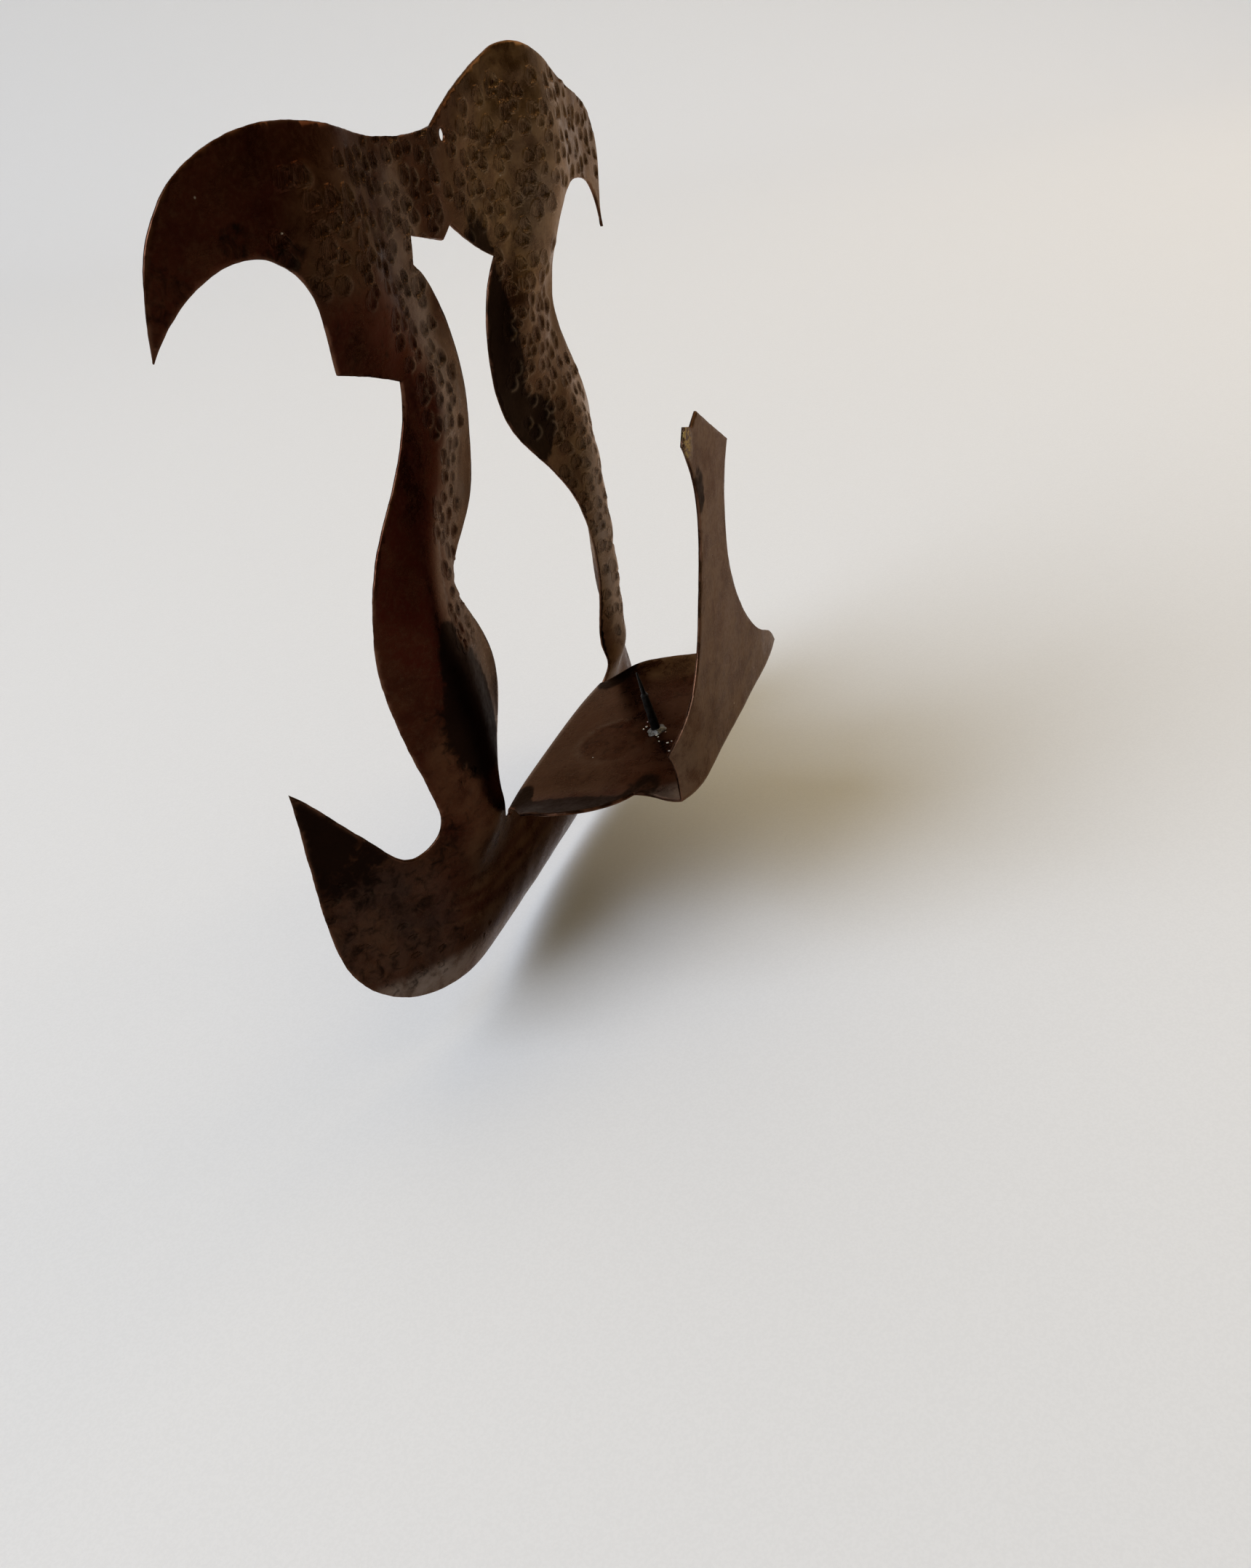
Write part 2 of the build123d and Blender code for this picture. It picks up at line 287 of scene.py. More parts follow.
def triangulate(rings, inner):
    """points and triangles of the area between the rings, with the inner points as well"""
    edge_points = np.concatenate(rings)
    links, first = [], 0
    for r in rings:
        links += [(first + i, first + (i + 1) % len(r)) for i in range(len(r))]
        first += len(r)
    every = np.concatenate([edge_points, inner])
    out = geometry.delaunay_2d_cdt([Vector(p) for p in every.tolist()], links, [], 0, 1e-6)
    source = np.array([min(ids) if ids else -1 for ids in out[3]])
    if source.min() < 0 or len(set(source[source < len(edge_points)])) < len(edge_points):
        raise RuntimeError("an outline crosses itself or has points too close together")
    used = np.sort(source)
    points = every[used]
    tris = np.searchsorted(used, source[np.array([f for f in out[2] if len(f) == 3])])
    rim_only = (tris < len(edge_points)).all(1)
    keep = ~rim_only
    for k in np.flatnonzero(rim_only):
        c = points[tris[k]].mean(0)
        keep[k] = np.searchsorted(crossings(rings, c[1]), c[0]) % 2 == 1
    tris = tris[keep]
    a, b, c = (points[tris[:, i]] for i in range(3))
    clockwise = (b[:, 0] - a[:, 0]) * (c[:, 1] - a[:, 1]) < (b[:, 1] - a[:, 1]) * (c[:, 0] - a[:, 0])
    tris[clockwise] = tris[clockwise][:, ::-1]
    return points, tris


def rim_distance(points, rings):
    tree = kdtree.KDTree(sum(len(r) for r in rings))
    for i, p in enumerate(np.concatenate(rings)):
        tree.insert((p[0], p[1], 0), i)
    tree.balance()
    return np.array([tree.find((p[0], p[1], 0))[2] for p in points.tolist()])


def waves(points, size, seed):
    """soft random height, about -1 to 1, with bumps about size mm across"""
    return np.array([noise.noise((x / size + seed, y / size, seed * 1.7)) for x, y in points.tolist()]) * 1.6


# ---- hammer marks ---------------------------------------------------------------------------------
rng = random.Random(11)


def band(x, z, stops):
    """1 on a wandering band and 0 off it; stops are (z, middle x, half width) from the top down"""
    zs, xs, ws = (np.array(c, float)[::-1] for c in zip(*stops))
    ends = smooth((z - zs[0]) / 8 + 1) * smooth((zs[-1] - z) / 8 + 1)
    off = (x - np.interp(z, zs, xs)) / np.interp(z, zs, ws)
    return ends * smooth((1.25 - abs(off)) / 0.4)


def blob(x, z, cx, cz, rx, rz, lean=0.0):
    """1 inside a soft-edged ellipse and 0 outside"""
    c, s = math.cos(math.radians(lean)), math.sin(math.radians(lean))
    u, v = (x - cx) * c + (z - cz) * s, (z - cz) * c - (x - cx) * s
    return smooth(2.2 - 1.6 * np.hypot(u / rx, v / rz))


LEFT_BAND = [(152, -36, 15), (140, -32, 12), (126, -28, 11), (112, -30, 9), (100, -37, 9), (90, -43, 8),
             (80, -46, 7), (68, -47, 6)]
RIGHT_BAND = [(152, 38, 17), (136, 33, 18), (120, 34, 18), (106, 40, 18), (94, 46, 16), (84, 50, 14),
              (70, 54, 13), (50, 57, 12), (30, 57, 11), (18, 57, 10)]


def hammered(x, z):
    """how closely the front is covered with hammer marks"""
    left = smooth((x + 86) / 16) * smooth((2 - x) / 10) * smooth((z - 150) / 8)
    left = left * (1 - blob(x, z, -66, 150, 19, 16, -28))
    right = smooth(x / 8) * smooth((z - 156) / 8) * smooth((199.5 - z) / 5)
    right = right * smooth((x * 0.75 + 184.0 - z) / 8)
    heads = np.maximum(left * smooth((200 - z + 0.04 * x) / 7), right)
    legs = np.maximum(band(x, z, LEFT_BAND), band(x, z, RIGHT_BAND))
    return np.maximum(heads, legs)


def strikes(density, x0, x1, z0, z1, pitch):
    """places of hammer strikes: jittered rows, thinned by the density"""
    out = []
    rows, cols = int((z1 - z0) / (pitch * 0.86)), int((x1 - x0) / pitch)
    for r in range(rows + 1):
        for c in range(cols + 1):
            x = x0 + (c + 0.5 * (r % 2) + rng.uniform(-0.32, 0.32)) * pitch
            z = z0 + (r * 0.86 + rng.uniform(-0.32, 0.32)) * pitch
            if rng.random() < density(np.float64(x), np.float64(z)):
                out.append((x, z))
    return out


# fields of hammer marks: x and z from and to, pitch, size
MARK_FIELDS = [(-90, -6, 138, 204, 5.7, 1.2), (-6, 116, 138, 204, 6.3, 1.28),
               (-60, 0, 40, 137, 5.9, 1.24), (0, 80, 12, 137, 5.9, 1.24)]
# patches of small dents on the foot: middle x and z, half width and height, pitch
DENT_PATCHES = [(-99, 8, 9, 8, 5.5), (-93, -14, 10, 11, 7), (-84, -25, 10, 5, 5.5), (-70, -30, 10, 4, 5.5),
                (98, 6, 9, 9, 6), (88, -18, 12, 10, 7), (76, -29, 13, 4, 6), (-66, 31, 5, 6, 6)]
MARK_LEAN = -20        # degrees from level
MARK_REACH = 7         # no mark reaches further than this from its middle

# x, z, lean, half length, half width, depth, how bright the painted highlight on the raised rim is; mm and
# degrees
marks = []
for x0, x1, z0, z1, pitch, scale in MARK_FIELDS:
    for x, z in strikes(hammered, x0, x1, z0, z1, pitch):
        size = rng.uniform(0.85, 1.15) * scale
        lean = MARK_LEAN + rng.gauss(0, 14)
        half_width = 1.65 * size * rng.uniform(0.85, 1.2)
        depth = rng.uniform(0.52, 0.84)
        # strength of the painted highlight on this mark's rim, weaker towards the left
        edge_wear_and_rim_highlight = rng.uniform(0.25, 1.0) * float(smooth((x + 100) / 70))
        marks.append((x, z, lean, 2.2 * size, half_width, depth, edge_wear_and_rim_highlight))
for cx, cz, rx, rz, pitch in DENT_PATCHES:
    def patch_density(x, z):
        return blob(x, z, cx, cz, rx, rz) * 0.8

    for x, z in strikes(patch_density, cx - rx, cx + rx, cz - rz, cz + rz, pitch):
        size = rng.uniform(0.45, 1.0)
        lean = MARK_LEAN + rng.gauss(0, 20)
        depth = rng.uniform(0.20, 0.36)
        marks.append((x, z, lean, 1.9 * size, 1.2 * size, depth, 0.15))


def hammer(x, z):
    """height of the struck front, inside-a-mark share and the share of the painted highlight on the raised rim
    at each point
    """
    height, inside, painted_rim_highlight = np.zeros(len(x)), np.zeros(len(x)), np.zeros(len(x))
    for mx, mz, lean, half_l, half_w, depth, bright in marks:
        near = np.flatnonzero((abs(x - mx) < MARK_REACH) & (abs(z - mz) < MARK_REACH))
        c, s = math.cos(math.radians(lean)), math.sin(math.radians(lean))
        dx, dz = x[near] - mx, z[near] - mz
        u, v = (dx * c + dz * s) / half_l, (dz * c - dx * s) / half_w
        r = np.hypot(u, v * (1 + 0.25 * u))
        floor = smooth((1.05 - r) / 0.34) * (0.60 + 0.40 * np.clip(u, -1, 1))
        lip = bell((r - 1.18) / 0.17) * (0.5 + 0.5 * np.clip(u, -1, 1))
        height[near] = np.minimum(height[near], -depth * floor)
        height[near] += 0.32 * depth * lip
        inside[near] = np.maximum(inside[near], smooth((1.1 - r) / 0.3))
        # painted highlight on the rim's side towards +u, the side that catches the light
        painted_rim_highlight[near] = np.maximum(painted_rim_highlight[near], bright * bell((r - 1.13) / 0.17) * smooth((u - 0.15) / 0.5))
    return height, inside, painted_rim_highlight


# ---- sheet builder ----------------------------------------------------------------------------------
def build_sheet(name, surface, rings, joint, dense, pitches, relief, channels):
    """a closed sheet of real thickness: front skin, back skin and a softened cut edge all round"""
    fine, coarse = pitches
    sparse_points = hex_points(rings, coarse)
    dense_points = hex_points(rings, fine)
    sparse_points = sparse_points[~dense(sparse_points[:, 0], sparse_points[:, 1])]
    dense_points = dense_points[dense(dense_points[:, 0], dense_points[:, 1])]
    inner = np.concatenate([sparse_points, dense_points])
    inner = inner[rim_distance(inner, rings) > EDGE_GAP]
    back_inner = hex_points(rings, coarse * 1.3)
    back_inner = back_inner[rim_distance(back_inner, rings) > EDGE_GAP_BACK]

    count = sum(len(r) for r in rings)
    into = np.concatenate([inward(r, i > 0) for i, r in enumerate(rings)])
    bevel = np.concatenate([np.where(joint(r), 0.01, BEVEL) for r in rings])
    ring_uv = np.concatenate(rings)

    def skin(points, side):
        """points of one skin, set in from the outline by the bevel"""
        uv = points.copy()
        uv[:count] += into * bevel[:, None]
        u, v = uv[:, 0], uv[:, 1]
        lift = relief(u, v, side)
        return surface(u, v) + front_normal(surface, u, v) * (side * SHEET / 2 + lift)[:, None], uv

    flat_f, tris_f = triangulate(rings, inner)
    flat_b, tris_b = triangulate(rings, back_inner)
    front, uv_f = skin(flat_f, 1)
    back, uv_b = skin(flat_b, -1)
    n_ring = front_normal(surface, ring_uv[:, 0], ring_uv[:, 1])
    mid = surface(ring_uv[:, 0], ring_uv[:, 1])
    rows = [mid + n_ring * (side * (SHEET / 2 - bevel))[:, None] for side in (1, -1)]
    co = np.concatenate([front, back, *rows])
    # where the back skin and the two rows of the cut edge begin
    b0 = len(front)
    r0 = b0 + len(back)
    r1 = r0 + count
    faces = [tuple(t) for t in tris_f.tolist()]
    faces += [(b0 + a, b0 + c, b0 + b) for a, b, c in tris_b.tolist()]
    first = 0
    for r in rings:
        for i in range(len(r)):
            a, b = first + i, first + (i + 1) % len(r)
            faces.append((a, b, r0 + b, r0 + a))
            faces.append((r0 + a, r0 + b, r1 + b, r1 + a))
            faces.append((r1 + a, r1 + b, b0 + b, b0 + a))
        first += len(r)
    mesh = bpy.data.meshes.new(name)
    mesh.from_pydata(placed(co).tolist(), [], faces)
    bm = bmesh.new()
    bm.from_mesh(mesh)
    bmesh.ops.recalc_face_normals(bm, faces=bm.faces)
    bm.to_mesh(mesh)
    bm.free()
    obj = bpy.data.objects.new(name, mesh)
    bpy.context.scene.collection.objects.link(obj)
    all_uv = np.concatenate([uv_f, uv_b, ring_uv, ring_uv])
    side = np.r_[np.ones(len(front)), -np.ones(len(back)), np.ones(count), -np.ones(count)]
    near_cut = [bell(rim_distance(uv, rings) / 0.8) for uv in (uv_f, uv_b)]
    cut = np.concatenate([*near_cut, np.ones(2 * count)])
    for key, values in channels(all_uv[:, 0], all_uv[:, 1], side).items():
        paint(mesh, key, values)
    paint(mesh, "cut", cut)
    smooth_shade(mesh)
    return obj


def paint(mesh, key, values):
    mesh.attributes.new(key, "FLOAT", "POINT").data.foreach_set("value", np.asarray(values, np.float32))


def smooth_shade(mesh, angle=55):
    mesh.polygons.foreach_set("use_smooth", [True] * len(mesh.polygons))
    mesh.set_sharp_from_angle(angle=math.radians(angle))


def hand_cut(runs, joint, seed):
    """a closed outline, uneven as a hand-cut edge is, but true at its corners and at the fold joint"""
    ring = loop(runs, STEP)
    corners = np.array([run[0] for run in runs], float)
    apart = np.linalg.norm(ring[:, None] - corners, axis=2).min(1)
    wobble = waves(ring, 5.0, seed) * 0.10 + waves(ring, 1.6, seed + 3) * 0.05
    wobble = wobble * smooth((apart - 1.5) / 4)
    return ring + inward(ring, False) * np.where(joint(ring), 0, wobble)[:, None]


# ---- the back plate ---------------------------------------------------------------------------------
def fold_joint(ring):
    return (abs(ring[:, 1] + ease_1) < 0.3) & (abs(ring[:, 0]) <= FOLD_HALF + 0.2)


def no_joint(ring):
    return np.zeros(len(ring), bool)


around = np.arange(HOLE_POINTS) * 2 * math.pi / HOLE_POINTS
nail_hole = np.stack([HOLE_X + HOLE_R * np.cos(around), HOLE_Z + HOLE_R * np.sin(around)], 1)
plate_rings = [hand_cut(OUTER, no_joint, 1), hand_cut(OPENING, fold_joint, 2), nail_hole]


def plate_relief(x, z, side):
    """height of each skin over the plain sheet: hammered in front, faintly uneven behind the marks"""
    at = np.stack([x, z], 1)
    covered = hammered(x, z)
    if side < 0:
        return -0.10 * covered * waves(at, 4, 8)
    uneven = waves(at, 9, 5) * 0.42 + waves(at, 26, 6) * 0.25
    return hammer(x, z)[0] + covered * uneven * 0.9 + (1 - covered) * uneven * 0.22


def patches(u, v, rows):
    """the sum of soft ellipses; rows are (strength, middle u, middle v, half width, half height[, lean])"""
    return sum(strength * blob(u, v, *ellipse) for strength, *ellipse in rows)


# where the patina differs on the front of the plate, and where light and shade are painted on it: the dark
# patches are partly painted shade, the tan ones partly painted light, the sheen ones painted reflection, the
# shade ones painted shade
PLATE_WARM = [
    (1.0, -62, 100, 22, 44, 25), (0.8, -46, 132, 16, 24), (0.7, -60, 152, 18, 14),
    (0.6, -90, 188, 34, 16, 20), (0.7, 14, 188, 12, 8), (0.5, 40, 184, 5, 14),
    (0.4, 30, 128, 14, 26), (0.5, -56, 30, 20, 20), (0.5, -68, 50, 16, 34), (0.7, -40, -8, 34, 24),
]
# dark patina and soot, and painted shade on the right leg's inner side
PLATE_DARK_AND_PAINTED_SHADE = [
    (0.52, -90, 184, 4.5, 4), (0.5, -80, 178, 7, 3.5), (0.9, -52, 46, 13, 20, 10),
    (0.8, -59, 70, 6, 9), (1.0, 13, 128, 9, 32), (0.9, 24, 100, 12, 12), (0.6, -102, 38, 9, 14),
    (0.34, 16, 160, 12, 7), (0.4, -110, 178, 8, 14), (0.5, 102, 36, 9, 14),
    (0.38, -94, -4, 26, 30), (0.30, -98, 32, 12, 20), (0.30, -68, 40, 12, 30), (0.3, -60, 156, 14, 12),
]
# rubbed tan streaks, and painted light: the right head and leg, the foot's bottom band and the left head's
# inner flank lightened where they catch light
PLATE_TAN_AND_PAINTED_LIGHT = [
    (0.22, -60, 180, 16, 14), (0.12, -40, 182, 14, 12), (0.25, -66, 34, 8, 16),
    (0.30, -52, 6, 16, 14), (0.5, 30, 165, 16, 10), (0.5, 44, -8, 26, 18), (0.95, 62, 176, 52, 34),
    (0.45, 42, 122, 22, 44, -14), (0.9, 60, 52, 18, 48), (0.9, -70, -42, 60, 10, -14),
    (0.35, -23, 168, 6, 22),
]
# painted reflection: pale sheen on the foot's bottom band, the legs' inner flanks and the heads' flanks, where
# they reflect the bright table
PLATE_PAINTED_SHEEN = [
    (0.9, -72, -37, 36, 7, -16), (0.5, -40, 66, 5, 34, 4), (0.4, -26, 128, 6, 30),
    (0.35, -28, 166, 9, 20), (0.08, -92, -10, 16, 24), (0.95, 58, 50, 12, 50),
    (0.3, 48, 158, 14, 12), (0.15, 56, 180, 20, 20),
]
# painted shade on the right leg and the right head's far flank; the negative patch lifts it on the left head's
# inner flank
PLATE_PAINTED_SHADE = [(0.3, 40, 110, 16, 40, -14), (0.4, 88, 176, 20, 20), (-0.35, -28, 166, 9, 20)]


def plate_channels(x, z, side):
    """painted amounts, 0 to 1, that the patina reads; the rim highlight, the sheen and the shade are painted
    light and shade, and tan and dark are partly so
    """
    front = side > 0
    _, inside, painted_rim_highlight = hammer(x, z)
    # the foot is streaked in arcs that run with its bottom edge
    arcs = smooth(waves(np.stack([x / 12, z - 0.003 * x ** 2], 1), 2.8, 31) + 0.45)
    tan = patches(x, z, PLATE_TAN_AND_PAINTED_LIGHT) + 0.45 * arcs * blob(x, z, -34, -14, 36, 18)
    # painted shade dulls the reflections of the left head, the outer face of the left leg and the foot
    head = smooth((z - 138) / 14)
    foot = smooth((24 - z) / 14)
    outer_leg = np.where(x < 0, smooth((-leg_line(x, z) - x + 5) / 8), 0)
    painted_shade_and_stain = head * 0.9 * smooth((34 - x) / 52) + (1 - head) * (1 - foot) * outer_leg + foot * 0.9
    painted_shade_and_stain = painted_shade_and_stain + patches(x, z, PLATE_PAINTED_SHADE)
    none = np.zeros(len(x))
    return {"mark": inside * front, "painted_rim_highlight": painted_rim_highlight * front,
            "warm": np.clip(patches(x, z, PLATE_WARM), 0, 1) * (0.4 + 0.6 * front),
            "painted_shade_and_stain": np.clip(painted_shade_and_stain, 0, 1),
            "dark_patina_and_painted_shade": np.clip(patches(x, z, PLATE_DARK_AND_PAINTED_SHADE), 0, 1) * front,
            "tan": np.clip(tan, 0, 1) * front,
            "painted_sheen": np.clip(patches(x, z, PLATE_PAINTED_SHEEN), 0, 1) * front,
            "crumb": none, "ring": none}


def plate_dense(x, z):
    """where the front needs small triangles for its marks"""
    busy = hammered(x, z) > 0.02
    busy |= blob(x, z, -96, 0, 20, 26) > 0.2
    busy |= blob(x, z, -76, -28, 24, 9) > 0.2
    busy |= blob(x, z, 88, -12, 28, 28) > 0.3
    return busy


back_plate = build_sheet("back_plate", plate, plate_rings, fold_joint, plate_dense, (0.53, 1.7), plate_relief,
                         plate_channels)
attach(back_plate, "root")
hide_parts("left_head", "right_head", "neck_bridge", "left_leg", "right_leg", "left_fin",
            "right_fin", "base_web")


# ---- the folded tongue: tray, front fold and front strip -----------------------------------------------
tongue_rings = [hand_cut(TONGUE, fold_joint, 4)]


def tongue_relief(x, s, side):
    """both skins follow the same soft unevenness, so the sheet keeps its thickness"""
    at = np.stack([x, s], 1)
    return smooth((s - 3) / 12) * (waves(at, 22, 12) * 0.22 + waves(at, 7, 13) * 0.05)


STAIN_AT = (-3, 26)    # the round stain a candle left on the tray, and its radius
STAIN_R = 13.0
# where the patina differs on top of the tray; the dark and shade patches along the tray's near edge are painted
# shade
TRAY_WARM = [(0.75, 44, 32, 12, 18), (0.7, -8, 50, 22, 14), (0.5, 22, 24, 18, 18)]
TRAY_DARK_AND_PAINTED_SHADE = [(0.9, 47, 8, 14, 9), (1.5, -50, 20, 12, 32, -4), (1.0, -40, 4, 12, 5), (0.9, -50, 30, 5, 26),
             (0.6, -34, 48, 10, 6), (0.35, 30, 44, 12, 8)]
# painted shade along the tray's near edge and at its near dip, and a broad dulling of the tray's middle
TRAY_PAINTED_SHADE = [(0.8, -48, 20, 13, 32, -6), (0.4, -36, 48, 12, 12), (0.5, 8, 46, 36, 18)]


def tongue_channels(x, s, side):
    """painted amounts, 0 to 1, that the patina reads; the tray's top is the strip's inner face; the sheen is
    painted reflection, the shade painted shade with the candle's stain, and tan and dark are partly painted
    light and shade
    """
    top = side < 0
    outer = side > 0
    strip = smooth((s - TRAY_LEN) / 4)
    tray = 1 - strip
    tray_top = tray * top
    strip_outer = strip * outer
    from_stain = np.hypot(x - STAIN_AT[0], s - STAIN_AT[1])
    stain = smooth((STAIN_R - from_stain) / 1.5)
    ring = tray_top * bell((from_stain - STAIN_R - 0.2) / 0.7) * (0.4 + 0.6 * smooth((26 - s) / 12 + 0.5))
    warm = tray_top * patches(x, s, TRAY_WARM) + tray * 0.75 + strip_outer * 0.2 + strip * top * 0.55
    dark_patina_and_painted_shade = tray_top * (0.36 * stain + patches(x, s, TRAY_DARK_AND_PAINTED_SHADE))
    dark_patina_and_painted_shade = dark_patina_and_painted_shade + strip_outer * 0.7 * blob(x, s, -11, 152, 4, 7)
    # tan partly paints light on the strip's outer face
    tan = tray_top * (0.75 * blob(x, s, 46, 34, 10, 18) + 0.16) + strip_outer * 0.55 + tray * outer * 0.3
    # painted shade: the tray and strip dulled all over and more along the tray's near edge; the candle's stain
    # dulls it as well
    painted_shade_and_stain = 0.35 + strip * 0.35 + tray_top * (0.4 * stain + patches(x, s, TRAY_PAINTED_SHADE))
    # painted reflection on the strip's outer face, and a painted highlight near the tray's front corner
    painted_sheen = strip_outer * 0.25 + tray_top * blob(x, s, -40, 60, 8, 8)
    none = np.zeros(len(x))
    return {"mark": none, "painted_rim_highlight": none, "warm": np.clip(warm, 0, 1), "painted_shade_and_stain": np.clip(painted_shade_and_stain, 0, 1),
            "dark_patina_and_painted_shade": np.clip(dark_patina_and_painted_shade, 0, 1), "tan": np.clip(tan, 0, 1), "painted_sheen": np.clip(painted_sheen, 0, 1),
            "crumb": outer * blob(x, s, -16.5, 168.5, 2.6, 4.5, 10), "ring": ring}


def tongue_dense(x, s):
    """where the tongue needs small triangles: at both folds and on the curled corners"""
    return (s < 9) | (abs(s - TRAY_LEN) < 8) | (abs(x) > 30) & (s > 55) & (s < 90)


candle_tongue = build_sheet("candle_tray_and_strip", tongue, tongue_rings, fold_joint, tongue_dense, (0.8, 1.7),
                            tongue_relief, tongue_channels)
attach(candle_tongue, "root")
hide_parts("candle_tray", "front_fold", "front_strip")


# ---- small pieces ----------------------------------------------------------------------------------------
def new_object(name, bm, angle=40):
    mesh = bpy.data.meshes.new(name)
    bmesh.ops.recalc_face_normals(bm, faces=bm.faces)
    bm.to_mesh(mesh)
    bm.free()
    smooth_shade(mesh, angle)
    obj = bpy.data.objects.new(name, mesh)
    bpy.context.scene.collection.objects.link(obj)
    return obj


spike_mount = next(m for m in frame["record"]["mounts"] if m["name"] == "candle_spike_point")
foot = Vector(spike_mount["pos_m"])
spike_axis = Vector(spike_mount["axis"]).normalized()
spike_side = Vector((1, 0, 0))
spike_back = spike_axis.cross(spike_side)
spike_height = (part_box("candle_spike")[1].z - foot.z) / spike_axis.z / MM
solder_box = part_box("spike_solder")
solder_r = (solder_box[1].x - solder_box[0].x) / 2 / MM


def lathe(bm, rows, segments, bumps, seed):
    """a closed turned shape round the spike's axis; rows are (height, radius, flattening), mm"""
    rings = []
    for h, r, flat in rows:
        ring = []
        for k in range(segments):
            a = k * 2 * math.pi / segments
            rough = 1 + bumps * noise.noise((math.cos(a) * 1.5 + seed, math.sin(a) * 1.5, h * 0.6))
            at = spike_side * math.cos(a) * r * rough + spike_back * math.sin(a) * r * flat * rough
            ring.append(bm.verts.new(foot + (at + spike_axis * h) * MM))
        rings.append(ring)
    for low, high in zip(rings, rings[1:]):
        for k in range(segments):
            n = (k + 1) % segments
            bm.faces.new((low[k], low[n], high[n], high[k]))
    bm.faces.new(rings[0][::-1])
    bm.faces.new(rings[-1])


# a hand-forged spike: it tapers, steps in once, then tapers to its point; radii in mm
SPIKE_R = 1.7            # at the foot
SPIKE_TAPER = 0.28       # share of that lost by the step
SPIKE_STEP = 0.62        # share of the height at which it steps in
SPIKE_STEP_DROP = 0.37
SPIKE_NECK_R = 0.85      # above the step
SPIKE_POINT_LOSS = 0.58
SPIKE_FLATTENING = 0.96
SPIKE_ROWS = 60
bm = bmesh.new()
rows = []
for k in range(SPIKE_ROWS + 1):
    t = k / SPIKE_ROWS
    if t < SPIKE_STEP:
        r = SPIKE_R * (1 - SPIKE_TAPER * t / SPIKE_STEP)
    else:
        r = SPIKE_NECK_R - SPIKE_POINT_LOSS * (t - SPIKE_STEP) / (1 - SPIKE_STEP)
        r += SPIKE_STEP_DROP * smooth((SPIKE_STEP + 0.03 - t) / 0.03)
    rows.append((spike_height * t, float(r), SPIKE_FLATTENING))
lathe(bm, rows, 28, 0.10, 3)
candle_spike = new_object("forged_spike", bm)
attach(candle_spike, "root")
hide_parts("candle_spike")

# the solder that holds it: a low uneven ring
# height in mm, share of its radius, flattening
SOLDER_ROWS = [(-0.1, 1.0, 0.97), (0.12, 0.99, 0.97), (0.3, 0.93, 0.96), (0.5, 0.84, 0.95),
               (0.75, 0.74, 0.92), (1.0, 0.66, 0.88), (1.2, 0.55, 0.85)]
bm = bmesh.new()
lathe(bm, [(h, solder_r * share, flat) for h, share, flat in SOLDER_ROWS], 48, 0.22, 8)
solder = new_object("solder_ring", bm)
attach(solder, "root")
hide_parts("spike_solder")

# crumbs of old candle wax round the foot: x, distance along the tray, size, mm
CRUMBS = [(3.6, 35.4, 1.0), (4.4, 36.6, 0.7), (2.2, 34.8, 0.8), (-2.4, 41.4, 0.9), (-3.4, 42.3, 0.6),
          (-6.2, 43.6, 0.7), (-7.6, 47.2, 1.0), (-6.6, 48.3, 0.6), (-12.5, 49.6, 0.9), (-11.6, 50.7, 0.6),
          (5.6, 38.8, 0.5), (-13, 22, 0.45), (-0.6, 43.9, 0.5), (6.8, 34.5, 0.5)]
CRUMB_SQUASH = Matrix.Diagonal((1.2, 0.9, 0.55, 1))
bm = bmesh.new()
for x, s, size in CRUMBS:
    u, v = np.array([float(x)]), np.array([float(s)])
    top = tongue(u, v) - front_normal(tongue, u, v) * (SHEET / 2 + size * 0.22)
    at = Matrix.Translation(Vector(placed(top)[0]))
    turned = Matrix.Rotation(rng.uniform(0, 3), 4, "Z")
    width = size * 0.8 * MM
    pose = at @ turned @ CRUMB_SQUASH
    made = bmesh.ops.create_icosphere(bm, subdivisions=2, radius=width / 2, matrix=pose)
    for vert in made["verts"]:
        out = (vert.co - at.translation) / width
        lump = 1 + 0.5 * noise.noise(out * 3 + Vector((x, s, 0)))
        vert.co = at.translation + out * lump * width
wax = new_object("wax_crumbs", bm, 25)
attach(wax, "root")


